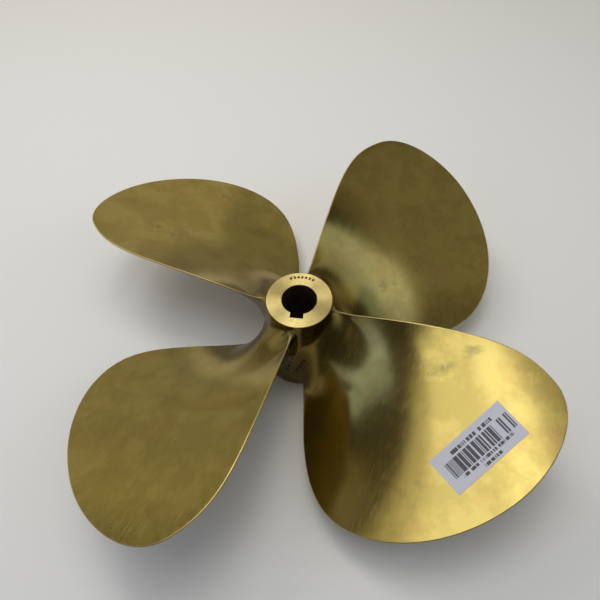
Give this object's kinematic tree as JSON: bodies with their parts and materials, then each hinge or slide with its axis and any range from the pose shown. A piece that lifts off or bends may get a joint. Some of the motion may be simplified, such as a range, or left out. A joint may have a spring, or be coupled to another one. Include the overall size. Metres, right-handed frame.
{
  "type": "four-bladed boat propeller",
  "caption": "Right-handed boat propeller cast in bronze: four wide skewed blades on a tapered hub with a keyed taper bore, and a plain paper label on one blade.",
  "frame": {"origin": "centre of the hub's wide forward face, on the shaft axis", "axes": "+Z along the shaft axis, from the hub's wide forward end to its narrow aft end, the way the blades' driving faces look"},
  "size_m": [0.4722, 0.4722, 0.1237],
  "materials": {
    "bronze": "brushed and polished manganese bronze with dull golden tarnish",
    "label_paper": "plain white label paper with plain dark bars"
  },
  "bodies": {
    "root": {"propeller_casting": "bronze", "paper_label": "label_paper"}
  },
  "joints": []
}
